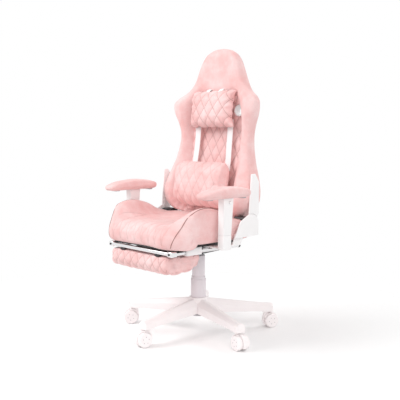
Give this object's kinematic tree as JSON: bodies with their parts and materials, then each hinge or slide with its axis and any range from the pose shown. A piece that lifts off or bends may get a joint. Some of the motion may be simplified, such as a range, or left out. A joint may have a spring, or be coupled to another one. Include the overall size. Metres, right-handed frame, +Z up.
{
  "type": "gaming chair",
  "caption": "Swivel chair with high winged backrest, bucket seat, two pillows, height adjustable armrests, pull-out footrest and a star base on casters.",
  "frame": {"origin": "on the floor, on the axis of the gas column", "axes": "+Z up along the column, -Y to the front of the seat, +X to the left of a person sitting"},
  "size_m": [0.6872, 0.6793, 1.2144],
  "materials": {
    "velvet": "short-pile velvet, quilted",
    "arm_pad": "soft skinned foam",
    "white_plastic": "moulded, satin",
    "base_white": "glass filled nylon, satin",
    "caster_white": "nylon",
    "column_white": "moulded sleeve",
    "steel": "ground",
    "black_steel": "powder coat",
    "black_plastic": "moulded",
    "grey_plastic": "moulded",
    "chrome": "polished",
    "strap": "woven elastic"
  },
  "bodies": {
    "base": {"star_base": "base_white", "hub_bottom_cap": "grey_plastic", "gas_cylinder": "black_steel", "column_cover_lower": "column_white"},
    "cover_middle": {"column_cover_middle": "column_white"},
    "gas_rod": {"gas_piston": "steel", "column_cover_upper": "column_white"},
    "release": {"release_button": "steel"},
    "mechanism": {"tilt_housing": "black_steel", "tilt_pin": "steel", "tension_spring": "steel"},
    "knob": {"tension_knob": "black_plastic"},
    "lever": {"lift_lever": "black_steel"},
    "seat": {"tilt_plate": "black_steel", "seat_pan": "black_steel", "seat_bolts": "steel", "seat_cushion": "velvet", "seat_bolster_left": "velvet", "seat_bolster_right": "velvet", "side_cover_lower_left": "white_plastic", "side_cover_lower_right": "white_plastic", "recliner_bases": "black_steel", "sync_rod": "steel", "footrest_guides": "white_plastic", "armrest_bracket_left": "white_plastic", "armrest_bracket_right": "white_plastic"},
    "backrest": {"back_frame": "black_steel", "back_panel": "velvet", "back_head": "velvet", "back_wing_left": "velvet", "back_wing_right": "velvet", "shoulder_bezels": "white_plastic", "recliner_arms": "black_steel", "side_cover_upper_left": "white_plastic", "side_cover_upper_right": "white_plastic", "pillow_straps": "strap"},
    "lumbar": {"lumbar_pillow": "velvet"},
    "head": {"head_pillow": "velvet"},
    "recline_release": {"recline_lever": "black_plastic"},
    "arm_left": {"armrest_sleeve_left": "white_plastic", "armrest_pad_left": "arm_pad"},
    "arm_right": {"armrest_sleeve_right": "white_plastic", "armrest_pad_right": "arm_pad"},
    "arm_button_left": {"armrest_button_left": "white_plastic"},
    "arm_button_right": {"armrest_button_right": "white_plastic"},
    "footrest_frame": {"footrest_rails": "chrome", "footrest_cross_bar": "chrome", "footrest_end_caps": "black_plastic"},
    "footrest": {"footrest_pad": "velvet", "footrest_clips": "chrome"},
    "caster_1": {"caster_1_housing": "caster_white"},
    "wheels_1": {"caster_1_wheels": "caster_white"},
    "caster_2": {"caster_2_housing": "caster_white"},
    "wheels_2": {"caster_2_wheels": "caster_white"},
    "caster_3": {"caster_3_housing": "caster_white"},
    "wheels_3": {"caster_3_wheels": "caster_white"},
    "caster_4": {"caster_4_housing": "caster_white"},
    "wheels_4": {"caster_4_wheels": "caster_white"},
    "caster_5": {"caster_5_housing": "caster_white"},
    "wheels_5": {"caster_5_wheels": "caster_white"}
  },
  "joints": [
    {"name": "gas_lift", "type": "slide", "parent": "base", "child": "gas_rod", "axis": [0, 0, 1], "range_m": [-0.0635, 0.0365]},
    {"name": "cover_middle_slide", "type": "slide", "parent": "base", "child": "cover_middle", "axis": [0, 0, 1], "range_m": [-0.03175, 0.01825]},
    {"name": "valve_press", "type": "slide", "parent": "gas_rod", "child": "release", "axis": [0, 0, -1], "range_m": [0, 0.003]},
    {"name": "seat_swivel", "type": "hinge", "parent": "gas_rod", "child": "mechanism", "pos_m": [0, 0, 0.3535], "axis": [0, 0, 1], "continuous": true},
    {"name": "knob_turn", "type": "hinge", "parent": "mechanism", "child": "knob", "pos_m": [0, -0.062, 0.3235], "axis": [0, 0, 1], "continuous": true},
    {"name": "lever_lift", "type": "hinge", "parent": "mechanism", "child": "lever", "pos_m": [-0.039, -0.02, 0.3555], "axis": [0, 1, 0], "range_deg": [0, 5], "stiffness_Nm_per_rad": 8, "springref_deg": -5.73},
    {"name": "seat_tilt", "type": "hinge", "parent": "mechanism", "child": "seat", "pos_m": [0, -0.06, 0.3815], "axis": [-1, 0, 0], "range_deg": [0, 12], "stiffness_Nm_per_rad": 120, "springref_deg": -28.65},
    {"name": "back_recline", "type": "hinge", "parent": "seat", "child": "backrest", "pos_m": [0, 0.036, 0.4835], "axis": [-1, 0, 0], "range_deg": [0, 60]},
    {"name": "lumbar_slide", "type": "slide", "parent": "backrest", "child": "lumbar", "axis": [0, 0.1132, 0.9936], "range_m": [0, 0.1]},
    {"name": "head_pillow_slide", "type": "slide", "parent": "backrest", "child": "head", "axis": [0, -0.2806, 0.9598], "range_m": [0, 0.045]},
    {"name": "recline_lever_lift", "type": "hinge", "parent": "seat", "child": "recline_release", "pos_m": [-0.28, -0.02, 0.4575], "axis": [-1, 0, 0], "range_deg": [0, 30], "stiffness_Nm_per_rad": 0.6, "springref_deg": -28.65},
    {"name": "footrest_slide", "type": "slide", "parent": "seat", "child": "footrest_frame", "axis": [0, -1, 0], "range_m": [0, 0.214]},
    {"name": "footrest_flip", "type": "hinge", "parent": "footrest_frame", "child": "footrest", "pos_m": [0, -0.316, 0.3915], "axis": [-1, 0, 0], "range_deg": [0, 180]},
    {"name": "armrest_height_left", "type": "slide", "parent": "seat", "child": "arm_left", "axis": [0, 0, 1], "range_m": [0, 0.07]},
    {"name": "armrest_button_press_left", "type": "slide", "parent": "arm_left", "child": "arm_button_left", "axis": [-1, 0, 0], "range_m": [0, 0.003], "stiffness_N_per_m": 300},
    {"name": "armrest_height_right", "type": "slide", "parent": "seat", "child": "arm_right", "axis": [0, 0, 1], "range_m": [0, 0.07]},
    {"name": "armrest_button_press_right", "type": "slide", "parent": "arm_right", "child": "arm_button_right", "axis": [1, 0, 0], "range_m": [0, 0.003], "stiffness_N_per_m": 300},
    {"name": "caster_1_swivel", "type": "hinge", "parent": "base", "child": "caster_1", "pos_m": [0.29938, -0.06708, 0.08], "axis": [0, 0, 1], "continuous": true},
    {"name": "caster_1_roll", "type": "hinge", "parent": "caster_1", "child": "wheels_1", "pos_m": [0.31901, -0.0709, 0.03], "axis": [0.1908, 0.9816, 0], "continuous": true},
    {"name": "caster_2_swivel", "type": "hinge", "parent": "base", "child": "caster_2", "pos_m": [0.15631, 0.26399, 0.08], "axis": [0, 0, 1], "continuous": true},
    {"name": "caster_2_roll", "type": "hinge", "parent": "caster_2", "child": "wheels_2", "pos_m": [0.16508, 0.28197, 0.03], "axis": [-0.8988, 0.4384, 0], "continuous": true},
    {"name": "caster_3_swivel", "type": "hinge", "parent": "base", "child": "caster_3", "pos_m": [-0.20277, 0.23024, 0.08], "axis": [0, 0, 1], "continuous": true},
    {"name": "caster_3_roll", "type": "hinge", "parent": "caster_3", "child": "wheels_3", "pos_m": [-0.21277, 0.24756, 0.03], "axis": [-0.866, -0.5, 0], "continuous": true},
    {"name": "caster_4_swivel", "type": "hinge", "parent": "base", "child": "caster_4", "pos_m": [-0.28163, -0.1217, 0.08], "axis": [0, 0, 1], "continuous": true},
    {"name": "caster_4_roll", "type": "hinge", "parent": "caster_4", "child": "wheels_4", "pos_m": [-0.29527, -0.13633, 0.03], "axis": [0.7314, -0.682, 0], "continuous": true},
    {"name": "caster_5_swivel", "type": "hinge", "parent": "base", "child": "caster_5", "pos_m": [0.02871, -0.30545, 0.08], "axis": [0, 0, 1], "continuous": true},
    {"name": "caster_5_roll", "type": "hinge", "parent": "caster_5", "child": "wheels_5", "pos_m": [0.02524, -0.32515, 0.03], "axis": [0.9848, -0.1736, 0], "continuous": true}
  ],
  "couplings": [
    {"joint": "cover_middle_slide", "follows": "gas_lift", "ratio": 0.5},
    {"joint": "valve_press", "follows": "lever_lift", "m_per_rad": 0.0343},
    {"joint": "footrest_flip", "follows": "footrest_slide", "rad_per_m": 14.67}
  ]
}
